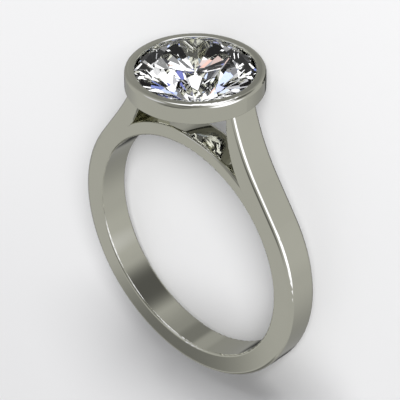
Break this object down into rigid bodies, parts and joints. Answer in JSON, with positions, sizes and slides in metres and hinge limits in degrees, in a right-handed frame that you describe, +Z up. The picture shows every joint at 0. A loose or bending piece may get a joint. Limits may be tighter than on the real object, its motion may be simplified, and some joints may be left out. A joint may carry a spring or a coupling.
{
  "type": "bezel set engagement ring",
  "caption": "Plain polished white gold engagement ring with a round brilliant cut stone in a bezel over an open gallery, lying on its side.",
  "frame": {"origin": "on the surface that the ring lies on, under the middle of its box", "axes": "+X across the band, +Y from the finger hole towards the stone, +Z up from the surface"},
  "size_m": [0.0202, 0.0254, 0.0094],
  "materials": {
    "white_gold": "polished, slightly warm grey",
    "diamond": "faceted and polished, colourless"
  },
  "bodies": {
    "root": {"ring_mount": "white_gold", "centre_stone": "diamond"}
  },
  "joints": []
}
